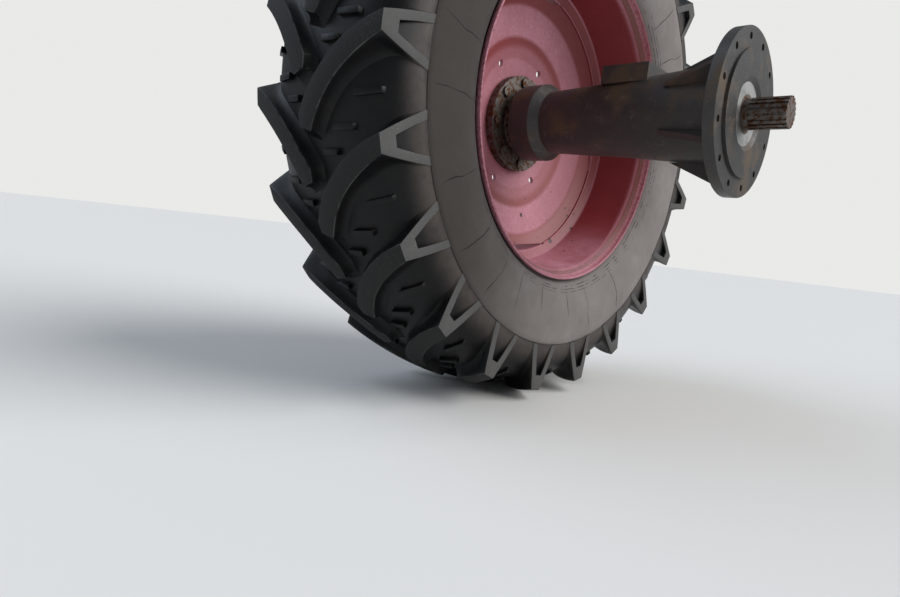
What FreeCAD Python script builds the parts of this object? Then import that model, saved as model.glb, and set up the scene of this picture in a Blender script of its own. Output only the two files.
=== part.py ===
"""Rear wheel of a farm tractor with the half axle that carries it.

Millimetres. +X is the way the tractor drives, +Y points inboard along the axle and +Z is up.
The origin lies on the axle's centre line, in the face that bolts to the gear casing.
Every piece that turns is drawn about the wheel's own centre plane, with +Y inboard.
"""
import FreeCAD, Part
import math
import os
import re
import Sketcher

Vector = FreeCAD.Vector
Y_AXIS = Vector(0, 1, 0)
Z_AXIS = Vector(0, 0, 1)

# Columns: name, size in millimetres (angles in degrees, counts plain), what it measures
SIZES = (
    ("axle_reach", 545, "casing face to the wheel's centre plane"),
    ("wheel_turn", 5.3, "how far the valve stands from the top, degrees"),
    ("tread_turn", 7.1, "how far the first lug's nose stands from the bottom, degrees"),
    ("seat_gap", 0.2, "between pieces of one body that seat on each other"),
    ("running_gap", 0.3, "between pieces that turn past each other"),
    ("rim_width", 350, "over both flange edges"),
    ("flange_width", 22.6, "flange, from its edge to the bead"),
    ("seat_radius", 355.6, "bead seat at its heel"),
    ("flange_height", 25.4, "top of the flange above the bead seat"),
    ("rim_wall", 6, "plate of the rim"),
    ("flange_curl", 12, "outer radius of the flange's curl"),
    ("seat_fall", 4, "the taper's fall over the bead seat and ledge"),
    ("ledge_half", 76, "centre plane to the ledge's inner edge"),
    ("well_half", 48, "centre plane to the well's corner"),
    ("well_depth", 25.6, "well below the bead seat"),
    ("valve_off", -27, "valve from the centre plane"),
    ("valve_radius", 7.5, "valve stem"),
    ("valve_length", 46, "valve stem below the well"),
    ("valve_root", 4, "valve foot on the tyre side of the well"),
    ("valve_cap_radius", 6.5, "cap"),
    ("valve_cap_length", 14, "cap"),
    ("valve_nut_flats", 24, "nut across flats"),
    ("valve_nut_height", 7, "nut"),
    ("valve_nut_seat", 0.5, "nut below the well's round floor"),
    ("disc_wall", 9, "plate of the disc"),
    ("disc_face", -31, "bolting face, from the centre plane"),
    ("disc_bore", 76.2, "centre hole"),
    ("face_radius", 124, "edge of the flat bolting face"),
    ("ring_radius", 145, "outer edge of the raised ring"),
    ("ring_rise", 7, "ring's outer edge above the bolting face"),
    ("cone_share", 0.6424, "outer edge of the cone, as a share of the disc's radius"),
    ("cone_rise", 24, "cone's outer edge above the bolting face"),
    ("dish_share", 0.874, "outer edge of the broad flat ring, as a share of the disc's radius"),
    ("dish_rise", 34, "ring's outer edge above the bolting face"),
    ("skirt_rise", 56, "skirt's edge above the bolting face"),
    ("disc_bend", 18, "radius of the disc's bends"),
    ("window_depth", 15.8, "window, from the disc's edge in to its straight side"),
    ("window_width", 240, "cut that makes a window, wider than the window"),
    ("window_count", 4, "windows at the rim"),
    ("weight_circle", 160, "weight holes' circle, radius"),
    ("weight_hole", 8.5, "weight hole"),
    ("weight_count", 6, "weight holes"),
    ("stud_circle", 101.6, "wheel studs' circle, radius"),
    ("stud_radius", 8, "wheel stud"),
    ("stud_count", 8, "wheel studs"),
    ("stud_head_radius", 12, "stud's head"),
    ("stud_head_height", 6, "stud's head"),
    ("stud_tail", 6, "stud beyond its nut"),
    ("nut_flats", 27, "wheel nut across flats"),
    ("nut_height", 16, "wheel nut"),
    ("hub_radius", 119, "wheel flange of the half shaft"),
    ("hub_wall", 22, "wheel flange of the half shaft"),
    ("boss_height", 5, "centring boss beyond the disc"),
    ("neck_radius", 72, "fillet at the flange"),
    ("neck_length", 20, "fillet at the flange"),
    ("journal_radius", 45, "outer bearing journal"),
    ("shaft_radius", 36, "half shaft between its journals"),
    ("inner_journal", 38, "inner bearing journal, radius"),
    ("spline_radius", 31, "spline end, outside"),
    ("spline_depth", 3, "spline groove"),
    ("spline_width", 4.5, "spline groove"),
    ("spline_count", 18, "spline grooves"),
    ("spline_length", 70, "splined end"),
    ("shaft_end", 82, "shaft's end beyond the casing face"),
    ("hub_clearance", 8, "seal cover to the hub's neck"),
    ("cover_wall", 12, "seal cover"),
    ("cover_bolt_circle", 80, "seal cover's bolts, radius"),
    ("cover_bolt_flats", 17, "bolt head across flats"),
    ("cover_bolt_height", 9, "bolt head"),
    ("cover_bolt_count", 8, "seal cover's bolts"),
    ("barrel_end_radius", 92, "housing at the outer bearing"),
    ("bearing_length", 34, "both bearings"),
    ("outer_bearing_radius", 68, "outer bearing's seat"),
    ("inner_bearing_radius", 62, "inner bearing's seat"),
    ("seat_step", 10, "step that a bearing rests against"),
    ("barrel_neck_radius", 74, "slimmest part of the barrel"),
    ("barrel_root_radius", 104, "barrel where it meets the inboard flange"),
    ("barrel_wall", 15, "barrel"),
    ("case_flange_radius", 165, "inboard flange"),
    ("case_flange_wall", 22, "inboard flange"),
    ("case_bolt_circle", 146, "inboard flange's bolts, radius"),
    ("case_bolt_hole", 7, "inboard flange's bolt hole, radius"),
    ("case_bolt_count", 12, "inboard flange's bolt holes"),
    ("pilot_radius", 125, "pilot that enters the casing"),
    ("pilot_length", 6, "pilot that enters the casing"),
    ("gusset_wall", 12, "gusset"),
    ("gusset_length", 120, "gusset along the barrel"),
    ("gusset_height", 150, "gusset's outer corner, radius"),
    ("gusset_count", 6, "gussets"),
    ("pad_centre", 250, "mudguard pad's centre from the casing face"),
    ("pad_size", 110, "mudguard pad, square"),
    ("pad_top", 108, "mudguard pad's face above the axle"),
    ("pad_hole_spacing", 76, "mudguard pad's holes"),
    ("pad_hole_radius", 6, "mudguard pad's holes"),
    ("pad_hole_depth", 24, "mudguard pad's holes"),
    ("tyre_radius", 682.5, "lug tops at the centre"),
    ("tread_half", 177, "centre plane to the lugs' shoulder ends"),
    ("carcass_flats", 36, "number of flats round the carcass"),
    ("crown_drop", 24, "fall of the lug tops to the shoulder"),
    ("lug_height", 35, "lug tops above the tread's floor"),
    ("lug_bury", 12, "lug's root inside the carcass"),
    ("lug_count", 21, "lugs a side"),
    ("lug_bend", 377, "radius of a lug's curve on the unrolled tread"),
    ("lug_start", 22, "lug's heading at the shoulder, degrees off the axle"),
    ("lug_finish", 60, "lug's heading at the nose, degrees off the axle"),
    ("lug_width", 36, "lug's top"),
    ("nose_width", 42, "lug's top at the nose"),
    ("shoulder_width", 37, "lug's top at the shoulder"),
    ("flank_spread", 12, "a flank's run from top to root"),
    ("shoulder_drop", 135.5, "shoulder line, where lugs end on the sidewall, below the lug tops"),
    ("buttress_width", 106, "lug's end at the shoulder line"),
    ("buttress_foot", 1.5, "lug's end proud of the shoulder line"),
    ("buttress_length", 35, "length over which a lug flares into its buttress"),
    ("pocket_depth", 11, "recess in a lug's shoulder end"),
    ("pocket_rib", 18, "rib left beside that recess"),
    ("sidewall_bulge", 9, "widest point of the sidewall beyond the shoulder line"),
    ("shoulder_half", 180, "centre plane to the shoulder line"),
    ("sidewall_wall", 17, "sidewall"),
    ("tread_wall", 22, "carcass under the tread's floor"),
    ("bead_width", 30, "bead on its seat"),
)

doc = FreeCAD.newDocument("rear_wheel")
sheet = doc.addObject("Spreadsheet::Sheet", "Sizes")
for row, (alias, number, meaning) in enumerate(SIZES, start=1):
    sheet.set(f"A{row}", alias)
    sheet.set(f"B{row}", str(number))
    sheet.set(f"C{row}", meaning)
    sheet.setAlias(f"B{row}", alias)
doc.recompute()

SIZE = {alias: float(sheet.get(alias)) for alias, _, _ in SIZES}
WORD = re.compile(r"[a-z]\w*")
HEX_CORNER = 1 / math.sqrt(3)


def bound(text):
    """Spell a formula over the sheet's names as an expression."""
    return WORD.sub(lambda word: f"Sizes.{word.group()}", text)


def value(text):
    """Work out the same formula as a number."""
    numbers = WORD.sub(lambda word: f"({SIZE[word.group()]})", text)
    return FreeCAD.Units.Quantity(numbers).Value


def tie(thing, prop, text):
    """Bind one property of an object to the sheet."""
    thing.setExpression(prop, bound(text))


def origin_plane(body, role):
    return next(plane for plane in body.Origin.OriginFeatures if plane.Role == role)


def new_body(label):
    """A piece of the fixed axle, drawn from the casing face."""
    return doc.addObject("PartDesign::Body", label)


def wheel_body(label, turn="wheel_turn"):
    """A piece that turns, drawn about the wheel's centre plane."""
    body = new_body(label)
    place = Vector(0, -SIZE["axle_reach"], 0)
    body.Placement = FreeCAD.Placement(place, FreeCAD.Rotation(Y_AXIS, SIZE[turn]))
    tie(body, "Placement.Base.y", "-axle_reach")
    tie(body, "Placement.Rotation.Angle", turn)
    return body


def new_sketch(body, name, role, offset=None):
    sketch = body.newObject("Sketcher::SketchObject", name)
    sketch.AttachmentSupport = [(origin_plane(body, role), "")]
    sketch.MapMode = "FlatFace"
    if offset:
        sketch.AttachmentOffset = FreeCAD.Placement(Vector(0, 0, value(offset)), FreeCAD.Rotation())
        tie(sketch, "AttachmentOffset.Base.z", offset)
    return sketch


def tied_distance(sketch, kind, geometry, point, text):
    index = sketch.addConstraint(Sketcher.Constraint(kind, -1, 1, geometry, point, value(text)))
    tie(sketch, f"Constraints[{index}]", text)


def outline(sketch, points):
    """Draw a closed outline and tie its corners to the sheet.

    A point is (across, up) or (across, up, radius). A radius bends the side that leaves the
    point, to the left where it is written plainly and to the right where it starts with a minus.
    """
    corners = [Vector(value(point[0]), value(point[1]), 0) for point in points]
    ends = []
    for index, point in enumerate(points):
        start = corners[index]
        stop = corners[(index + 1) % len(points)]
        if len(point) == 2:
            side = sketch.addGeometry(Part.LineSegment(start, stop), False)
            ends.append((side, 1, 2))
            continue
        radius = abs(value(point[2]))
        turn = -1 if point[2].startswith("-") else 1
        chord = stop - start
        rise = math.sqrt(max(radius**2 - chord.Length**2 / 4, 0))
        square = Vector(-chord.y, chord.x, 0).normalize()
        centre = (start + stop) * 0.5 + square * rise * turn
        first, last = (start, stop) if turn > 0 else (stop, start)
        angles = [math.atan2(end.y - centre.y, end.x - centre.x) for end in (first, last)]
        if angles[1] < angles[0]:
            angles[1] += 2 * math.pi
        side = sketch.addGeometry(Part.ArcOfCircle(Part.Circle(centre, Z_AXIS, radius), *angles), False)
        ends.append((side, 1, 2) if turn > 0 else (side, 2, 1))
        index = sketch.addConstraint(Sketcher.Constraint("Radius", side, radius))
        tie(sketch, f"Constraints[{index}]", point[2].lstrip("-"))
    for index, (side, begin, _) in enumerate(ends):
        before, _, finish = ends[index - 1]
        sketch.addConstraint(Sketcher.Constraint("Coincident", before, finish, side, begin))
        tied_distance(sketch, "DistanceX", side, begin, points[index][0])
        tied_distance(sketch, "DistanceY", side, begin, points[index][1])


def circle(sketch, across, up, radius):
    ring = Part.Circle(Vector(value(across), value(up), 0), Z_AXIS, value(radius))
    side = sketch.addGeometry(ring, False)
    index = sketch.addConstraint(Sketcher.Constraint("Radius", side, value(radius)))
    tie(sketch, f"Constraints[{index}]", radius)
    tied_distance(sketch, "DistanceX", side, 3, across)
    tied_distance(sketch, "DistanceY", side, 3, up)


def hexagon(sketch, across, up, flats):
    """A hexagon with its flats to the left and right."""
    corner = [(0, 2), (-1, 1), (-1, -1), (0, -2), (1, -1), (1, 1)]
    outline(sketch, [
        (f"{across} + {side / 2} * {flats}", f"{up} + {rise * HEX_CORNER / 2} * {flats}")
        for side, rise in corner
    ])


def revolved(body, name, points):
    """Turn an outline of (along the axle, radius) about the axle."""
    sketch = new_sketch(body, f"{name}_profile", "YZ_Plane")
    outline(sketch, points)
    turned = body.newObject("PartDesign::Revolution", name)
    turned.Profile = sketch
    turned.ReferenceAxis = (sketch, ["H_Axis"])
    turned.Angle = 360
    return turned


def padded(body, name, sketch, length, midplane=False):
    pad = body.newObject("PartDesign::Pad", name)
    pad.Profile = sketch
    pad.Length = value(length)
    tie(pad, "Length", length)
    pad.Midplane = midplane
    return pad


def cut_through(body, name, sketch):
    """Cut a sketch through the whole piece, both ways."""
    pocket = body.newObject("PartDesign::Pocket", name)
    pocket.Profile = sketch
    pocket.Type = "ThroughAll"
    pocket.Midplane = True
    return pocket


def around_axle(body, name, features, sketch, count, axis="N_Axis"):
    """Repeat features about the axle, which is the sketch's own normal or horizontal axis."""
    pattern = body.newObject("PartDesign::PolarPattern", name)
    pattern.Originals = features
    pattern.Axis = (sketch, [axis])
    pattern.Angle = 360
    pattern.Occurrences = int(SIZE[count])
    tie(pattern, "Occurrences", count)
    body.Tip = pattern
    return pattern


def holes_around(body, name, circle_radius, hole_radius, count):
    sketch = new_sketch(body, f"{name}_sketch", "XZ_Plane")
    circle(sketch, circle_radius, "0", hole_radius)
    pocket = cut_through(body, f"{name}_first", sketch)
    return around_axle(body, name, [pocket], sketch, count)


def mirrored(chain):
    """The same chain of points beyond the centre plane, walked backwards."""
    bends = [()] + [point[2:] for point in chain[:-1]]
    return [(f"-({point[0]})", point[1], *bend) for point, bend in zip(reversed(chain), reversed(bends))]


FLANGE_TOP = "seat_radius + flange_height"
WELL = "seat_radius - well_depth"
WELL_INSIDE = f"{WELL} - rim_wall"
DISC_EDGE = f"{WELL_INSIDE} - seat_gap"


def rim():
    """Drop-centre rim of one plate thickness, its flanges curled outwards."""
    body = wheel_body("rim")
    heel = "rim_width / 2 - flange_width"
    lip = "rim_width / 2 - rim_wall / 2"
    half = [
        ("well_half", WELL),
        ("ledge_half", "seat_radius - seat_fall"),
        (heel, "seat_radius"),
        (heel, f"{FLANGE_TOP} - flange_curl", "-flange_curl"),
        (f"{heel} + flange_curl", FLANGE_TOP),
        (lip, FLANGE_TOP, "-rim_wall / 2"),
        ("rim_width / 2", f"{FLANGE_TOP} - rim_wall / 2", "-rim_wall / 2"),
        (lip, f"{FLANGE_TOP} - rim_wall"),
        (f"{heel} + flange_curl", f"{FLANGE_TOP} - rim_wall", "flange_curl - rim_wall"),
        (f"{heel} + rim_wall", f"{FLANGE_TOP} - flange_curl"),
        (f"{heel} + rim_wall", "seat_radius - rim_wall"),
        ("ledge_half", "seat_radius - seat_fall - rim_wall"),
        ("well_half", WELL_INSIDE),
    ]
    revolved(body, "rim_ring", half + mirrored(half))
    sketch = new_sketch(body, "valve_hole_sketch", "XY_Plane")
    circle(sketch, "0", "valve_off", "valve_radius + seat_gap")
    hole = body.newObject("PartDesign::Pocket", "valve_hole")
    hole.Profile = sketch
    hole.Type = "ThroughAll"
    hole.Reversed = True
    return body


def round_bends(body, name, feature, radii, bend):
    """Round the circular edges of a turned piece at the given radii."""
    wanted = [value(radius) for radius in radii]
    edges = [
        f"Edge{index}" for index, edge in enumerate(feature.Shape.Edges, start=1)
        if hasattr(edge.Curve, "Radius") and any(abs(edge.Curve.Radius - radius) < 0.01 for radius in wanted)
    ]
    fillet = body.newObject("PartDesign::Fillet", name)
    fillet.Base = (feature, edges)
    fillet.Radius = value(bend)
    tie(fillet, "Radius", bend)
    return fillet


def wheel_disc():
    """Pressed disc: bolting face, raised ring, cone, broad ring and skirt, with windows."""
    body = wheel_body("wheel_disc")
    stations = [
        ("disc_bore", "0"),
        ("face_radius", "0"),
        ("ring_radius", "ring_rise"),
        (f"cone_share * ({DISC_EDGE})", "cone_rise"),
        (f"dish_share * ({DISC_EDGE})", "dish_rise"),
        (DISC_EDGE, "skirt_rise"),
    ]
    inboard = [(f"disc_face + {rise}", radius) for radius, rise in stations]
    outboard = [(f"disc_face + {rise} - disc_wall", radius) for radius, rise in reversed(stations)]
    dish = revolved(body, "dish", inboard + outboard)
    doc.recompute()
    round_bends(body, "bends", dish, [radius for radius, _ in stations[1:-1]], "disc_bend")
    window = new_sketch(body, "window_sketch", "XZ_Plane")
    far = f"{WELL} + disc_wall"
    chord = f"{DISC_EDGE} - window_depth"
    outline(window, [
        ("-window_width / 2", f"-({chord})"),
        ("-window_width / 2", f"-({far})"),
        ("window_width / 2", f"-({far})"),
        ("window_width / 2", f"-({chord})"),
    ])
    pocket = cut_through(body, "window", window)
    around_axle(body, "windows", [pocket], window, "window_count")
    holes_around(body, "weight_holes", "weight_circle", "weight_hole", "weight_count")
    holes_around(body, "stud_holes", "stud_circle", "stud_radius + seat_gap", "stud_count")
    return body


def half_shaft():
    """One forging: centring boss, wheel flange, neck, journals and splined end."""
    body = wheel_body("half_shaft")
    hub_back = "disc_face + hub_wall"
    cover = "disc_face + hub_wall + neck_length + hub_clearance"
    step_out = f"{cover} + cover_wall + bearing_length + seat_step"
    inner_step = "axle_reach - bearing_length - seat_step"
    outer = [
        ("disc_face - disc_wall - boss_height", "0"),
        ("disc_face - disc_wall - boss_height", "disc_bore - seat_gap"),
        ("disc_face", "disc_bore - seat_gap"),
        ("disc_face", "hub_radius"),
        (hub_back, "hub_radius"),
        (hub_back, "neck_radius"),
        (f"{hub_back} + neck_length", "journal_radius"),
        (step_out, "journal_radius"),
        (step_out, "shaft_radius"),
        (inner_step, "shaft_radius"),
        (inner_step, "inner_journal"),
        ("axle_reach", "inner_journal"),
        ("axle_reach", "spline_radius"),
        ("axle_reach + shaft_end", "spline_radius"),
        ("axle_reach + shaft_end", "0"),
    ]
    revolved(body, "forging", outer)
    groove = new_sketch(body, "spline_sketch", "XZ_Plane", "-(axle_reach + shaft_end)")
    half = "spline_width / 2"
    outline(groove, [
        (f"-{half}", "spline_radius - spline_depth"),
        (half, "spline_radius - spline_depth"),
        (half, "spline_radius + spline_depth"),
        (f"-{half}", "spline_radius + spline_depth"),
    ])
    pocket = body.newObject("PartDesign::Pocket", "spline_groove")
    pocket.Profile = groove
    pocket.Length = SIZE["spline_length"]
    tie(pocket, "Length", "spline_length")
    pocket.Reversed = True
    around_axle(body, "spline", [pocket], groove, "spline_count")
    holes_around(body, "hub_holes", "stud_circle", "stud_radius + seat_gap", "stud_count")
    return body


def wheel_studs():
    """Studs pressed in from behind the wheel flange, heads inboard."""
    body = wheel_body("wheel_studs")
    body.AllowCompound = True
    back = "disc_face + hub_wall"
    head = new_sketch(body, "stud_head_sketch", "XZ_Plane", f"-({back} + stud_head_height)")
    circle(head, "stud_circle", "0", "stud_head_radius")
    head_pad = padded(body, "stud_head", head, "stud_head_height")
    shank = new_sketch(body, "stud_shank_sketch", "XZ_Plane", f"-({back})")
    circle(shank, "stud_circle", "0", "stud_radius")
    shank_pad = padded(body, "stud_shank", shank, "hub_wall + disc_wall + nut_height + stud_tail")
    around_axle(body, "studs", [head_pad, shank_pad], shank, "stud_count")
    return body


def wheel_nuts():
    body = wheel_body("wheel_nuts")
    body.AllowCompound = True
    seat = "disc_face - disc_wall"
    sketch = new_sketch(body, "nut_sketch", "XZ_Plane", f"-({seat})")
    hexagon(sketch, "stud_circle", "0", "nut_flats")
    circle(sketch, "stud_circle", "0", "stud_radius + seat_gap")
    pad = padded(body, "nut", sketch, "nut_height")
    around_axle(body, "nuts", [pad], sketch, "stud_count")
    return body


def valve_piece(label, low, high, radius, bore=None, flats=None):
    """A round or hexagonal piece on the valve's axis, between two radii of the wheel."""
    body = wheel_body(label)
    sketch = new_sketch(body, f"{label}_sketch", "XY_Plane", low)
    if flats:
        hexagon(sketch, "0", "valve_off", flats)
    else:
        circle(sketch, "0", "valve_off", radius)
    if bore:
        circle(sketch, "0", "valve_off", bore)
    padded(body, f"{label}_pad", sketch, f"{high} - ({low})")
    return body


def valve():
    tip = f"{WELL_INSIDE} - valve_length"
    valve_piece("valve_stem", tip, f"{WELL} + valve_root", "valve_radius")
    nut_top = f"{WELL_INSIDE} - valve_nut_seat"
    valve_piece("valve_nut", f"{nut_top} - valve_nut_height", nut_top, None,
                bore="valve_radius + seat_gap", flats="valve_nut_flats")
    valve_piece("valve_cap", f"{tip} - valve_cap_length", tip, "valve_cap_radius")


COVER_FACE = "-axle_reach + disc_face + hub_wall + neck_length + hub_clearance"
HOUSING_END = f"{COVER_FACE} + cover_wall"


def axle_housing():
    """Cast trumpet: outer bearing seat, slim neck, flared root, flange, pilot and gussets."""
    body = new_body("axle_housing")
    outer_seat = f"{HOUSING_END} + bearing_length"
    inner_seat = "-bearing_length"
    root = "-case_flange_wall"
    revolved(body, "trumpet", [
        (HOUSING_END, "outer_bearing_radius + seat_gap"),
        (HOUSING_END, "barrel_end_radius"),
        (f"{outer_seat} + seat_step", "barrel_end_radius"),
        (f"{outer_seat} + 3 * seat_step", "barrel_neck_radius"),
        ("-pad_centre", "barrel_neck_radius + seat_step"),
        (root, "barrel_root_radius"),
        (root, "case_flange_radius"),
        ("0", "case_flange_radius"),
        ("0", "pilot_radius"),
        ("pilot_length", "pilot_radius"),
        ("pilot_length", "inner_bearing_radius + seat_step"),
        ("0", "inner_bearing_radius + seat_gap"),
        (inner_seat, "inner_bearing_radius + seat_gap"),
        (inner_seat, "inner_bearing_radius - seat_step"),
        (f"{inner_seat} - seat_step", "inner_bearing_radius - seat_step"),
        (f"{inner_seat} - 3 * seat_step", "barrel_root_radius - 2 * barrel_wall"),
        (f"{outer_seat} + 3 * seat_step", "barrel_neck_radius - barrel_wall"),
        (f"{outer_seat} + seat_step", "outer_bearing_radius - seat_step"),
        (outer_seat, "outer_bearing_radius - seat_step"),
        (outer_seat, "outer_bearing_radius + seat_gap"),
    ])
    web = new_sketch(body, "gusset_sketch", "YZ_Plane")
    outline(web, [
        (root, "barrel_root_radius - barrel_wall / 2"),
        (root, "gusset_height"),
        (f"{root} - gusset_length", "barrel_root_radius - barrel_wall / 2"),
    ])
    gusset = padded(body, "gusset", web, "gusset_wall", midplane=True)
    around_axle(body, "gussets", [gusset], web, "gusset_count", axis="H_Axis")
    side = "pad_size / 2"
    low = "barrel_neck_radius - barrel_wall / 3"
    pad_sketch = new_sketch(body, "pad_sketch", "XY_Plane", low)
    outline(pad_sketch, [
        (side, f"-pad_centre - {side}"),
        (side, f"-pad_centre + {side}"),
        (f"-{side}", f"-pad_centre + {side}"),
        (f"-{side}", f"-pad_centre - {side}"),
    ])
    padded(body, "pad", pad_sketch, f"pad_top - ({low})")
    hole_sketch = new_sketch(body, "pad_hole_sketch", "XY_Plane", "pad_top")
    for across in (-1, 1):
        for along in (-1, 1):
            circle(hole_sketch, f"{across / 2} * pad_hole_spacing",
                   f"-pad_centre + {along / 2} * pad_hole_spacing", "pad_hole_radius")
    holes = body.newObject("PartDesign::Pocket", "pad_holes")
    holes.Profile = hole_sketch
    holes.Length = SIZE["pad_hole_depth"]
    tie(holes, "Length", "pad_hole_depth")
    first = new_sketch(body, "case_hole_sketch", "XZ_Plane")
    angle = math.radians(180 / SIZE["case_bolt_count"])
    circle(first, f"{math.cos(angle)} * case_bolt_circle", f"{math.sin(angle)} * case_bolt_circle",
           "case_bolt_hole")
    pocket = cut_through(body, "case_hole", first)
    around_axle(body, "case_holes", [pocket], first, "case_bolt_count")
    return body


def ring(label, first, last, inner, outer):
    body = new_body(label)
    revolved(body, f"{label}_ring", [(first, inner), (last, inner), (last, outer), (first, outer)])
    return body


def bearings_and_cover():
    outer_end = f"{HOUSING_END} + bearing_length"
    ring("outer_bearing", HOUSING_END, outer_end, "journal_radius + running_gap", "outer_bearing_radius")
    ring("inner_bearing", "-bearing_length", "0", "inner_journal + running_gap", "inner_bearing_radius")
    ring("seal_retainer", COVER_FACE, HOUSING_END, "journal_radius + running_gap", "barrel_end_radius")


def retainer_bolts():
    body = new_body("retainer_bolts")
    body.AllowCompound = True
    sketch = new_sketch(body, "bolt_sketch", "XZ_Plane", f"-({COVER_FACE})")
    hexagon(sketch, "cover_bolt_circle", "0", "cover_bolt_flats")
    pad = padded(body, "bolt_head", sketch, "cover_bolt_height")
    around_axle(body, "bolts", [pad], sketch, "cover_bolt_count")
    return body


def tread_point(across, travel, radius):
    """A point on the tyre, from its place on the unrolled tread and its radius."""
    angle = travel / SIZE["tyre_radius"] - math.pi / 2
    return Vector(radius * math.cos(angle), across, radius * math.sin(angle))


def facet(*corners):
    return Part.Face(Part.makePolygon([*corners, corners[0]]))


def crown(across):
    """Radius of the lug tops at a distance from the centre plane."""
    return SIZE["tyre_radius"] - SIZE["crown_drop"] * (across / SIZE["tread_half"])**2


def lug_sections(side):
    """Four-cornered sections of a bar lug, from its shoulder end to its nose at the bottom.

    On the unrolled tread a lug is an arc that turns from lug_start to lug_finish.
    """
    size = SIZE
    start = math.radians(size["lug_start"])
    finish = math.radians(size["lug_finish"])
    shoulder = size["tyre_radius"] - size["shoulder_drop"]
    flare = size["buttress_length"] / (size["lug_bend"] * (finish - start))
    sections = []
    for share in (0, flare, 0.5, 1):
        heading = start + (finish - start) * share
        across = size["tread_half"] - size["lug_bend"] * (math.sin(heading) - math.sin(start))
        travel = size["lug_bend"] * (math.cos(heading) - math.cos(finish))
        width = size["lug_width"]
        spread = size["flank_spread"]
        run = (-math.sin(heading), math.cos(heading))
        root = crown(across) - size["lug_height"] - size["lug_bury"]
        if share == 0:
            width = size["shoulder_width"]
            spread = (size["buttress_width"] - width) / 2
            run = (0, 1)
            root = shoulder
        if share == 1:
            width = size["nose_width"]
            run = (-1, 0)
        corners = []
        for reach, is_root in ((-1, False), (1, False), (1, True), (-1, True)):
            out = reach * (width / 2 + (spread if is_root else 0))
            place = across + run[0] * out
            if share == 0 and is_root:
                place = size["shoulder_half"] + size["buttress_foot"]
            radius = root if is_root else crown(place)
            corners.append(tread_point(side * place, travel + run[1] * out, radius))
        sections.append(corners)
    return sections


def prism(front, back):
    """A solid between two outlines with the same number of corners."""
    faces = [facet(*front), facet(*back)]
    for index in range(len(front)):
        after = (index + 1) % len(front)
        faces.append(facet(front[index], front[after], back[after]))
        faces.append(facet(front[index], back[after], back[index]))
    return closed_solid(faces)


def shoulder_pocket(end, side):
    """The recess in a lug's shoulder end, which leaves a rib down each of its sloping edges."""
    left_tip, right_tip, right_base, left_base = end
    rib = SIZE["pocket_rib"]
    solid_tip = 2 * rib / (left_base - left_tip).Length
    rows = []
    for share in (solid_tip, 1.1):
        left = left_tip + (left_base - left_tip) * share
        right = right_tip + (right_base - right_tip) * share
        inset = (right - left).normalize() * rib
        rows.append((left + inset, right - inset))
    mouth = [rows[0][0], rows[0][1], rows[1][1], rows[1][0]]
    depth = Vector(0, side * SIZE["pocket_depth"], 0)
    return prism([corner + depth for corner in mouth], [corner - depth for corner in mouth])


def lug(side):
    """One bar lug in flat facets, its root sunk into the carcass."""
    sections = lug_sections(side)
    pocket = shoulder_pocket(sections[0], side)
    faces = [facet(*sections[0]), facet(*sections[-1])]
    for here, there in zip(sections, sections[1:]):
        for index in range(4):
            after = (index + 1) % 4
            faces.append(facet(here[index], here[after], there[after]))
            faces.append(facet(here[index], there[after], there[index]))
    return closed_solid(faces).cut(pocket)


def closed_solid(faces):
    shell = Part.Shell(faces)
    shell.sewShape()
    solid = Part.Solid(shell)
    if solid.Volume < 0:
        solid.reverse()
    return solid


def carcass_profile():
    """Section of the casing without its lugs, open towards the rim."""
    size = SIZE
    heel = size["rim_width"] / 2 - size["flange_width"] - size["seat_gap"]
    toe = heel - size["bead_width"]
    seat = size["seat_radius"] + size["seat_gap"]
    flange = size["seat_radius"] + size["flange_height"] + size["seat_gap"]
    curl = size["flange_curl"]
    curl_start = flange - curl * (1 - math.tan(math.pi / 8))
    shoulder = size["tyre_radius"] - size["shoulder_drop"]
    widest = size["shoulder_half"] + size["sidewall_bulge"]
    floor = size["tyre_radius"] - size["lug_height"]
    wall = size["sidewall_wall"]
    crown_inside = floor - size["tread_wall"]
    middle = (flange + shoulder) / 2
    height = shoulder - flange
    outside = [
        (toe, seat),
        (heel, seat),
        (heel, curl_start),
        (heel + 1.25 * curl, curl_start + 1.25 * curl),
        (widest - 0.5 * size["sidewall_bulge"], middle - 0.24 * height),
        (widest, middle + 0.1 * height),
        (size["shoulder_half"], shoulder),
        (size["tread_half"] - 0.9 * wall, shoulder + 0.6 * (floor - shoulder)),
        (size["tread_half"] / 3, floor - size["crown_drop"] / 9),
    ]
    inside = [
        (size["tread_half"] - 2.2 * wall, crown_inside - size["crown_drop"]),
        (widest - wall, middle),
        (toe, seat + wall),
    ]
    beyond = [(-across, radius) for across, radius in reversed(outside)]
    inside_beyond = [(-across, radius) for across, radius in inside]
    return outside + beyond + inside_beyond[::-1] + [(0, crown_inside)] + inside


def faceted_ring(profile, sides):
    """Turn a closed profile about the axle in flat facets that keep outside its true radii."""
    grow = 1 / math.cos(math.pi / sides)
    step = 2 * math.pi / sides
    rings = [
        [
            Vector(radius * grow * math.cos(step * index), across, radius * grow * math.sin(step * index))
            for index in range(sides)
        ]
        for across, radius in profile
    ]
    faces = []
    for here, there in zip(rings, rings[1:] + rings[:1]):
        for index in range(sides):
            after = (index + 1) % sides
            faces.append(facet(here[index], here[after], there[after], there[index]))
    return closed_solid(faces)


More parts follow.
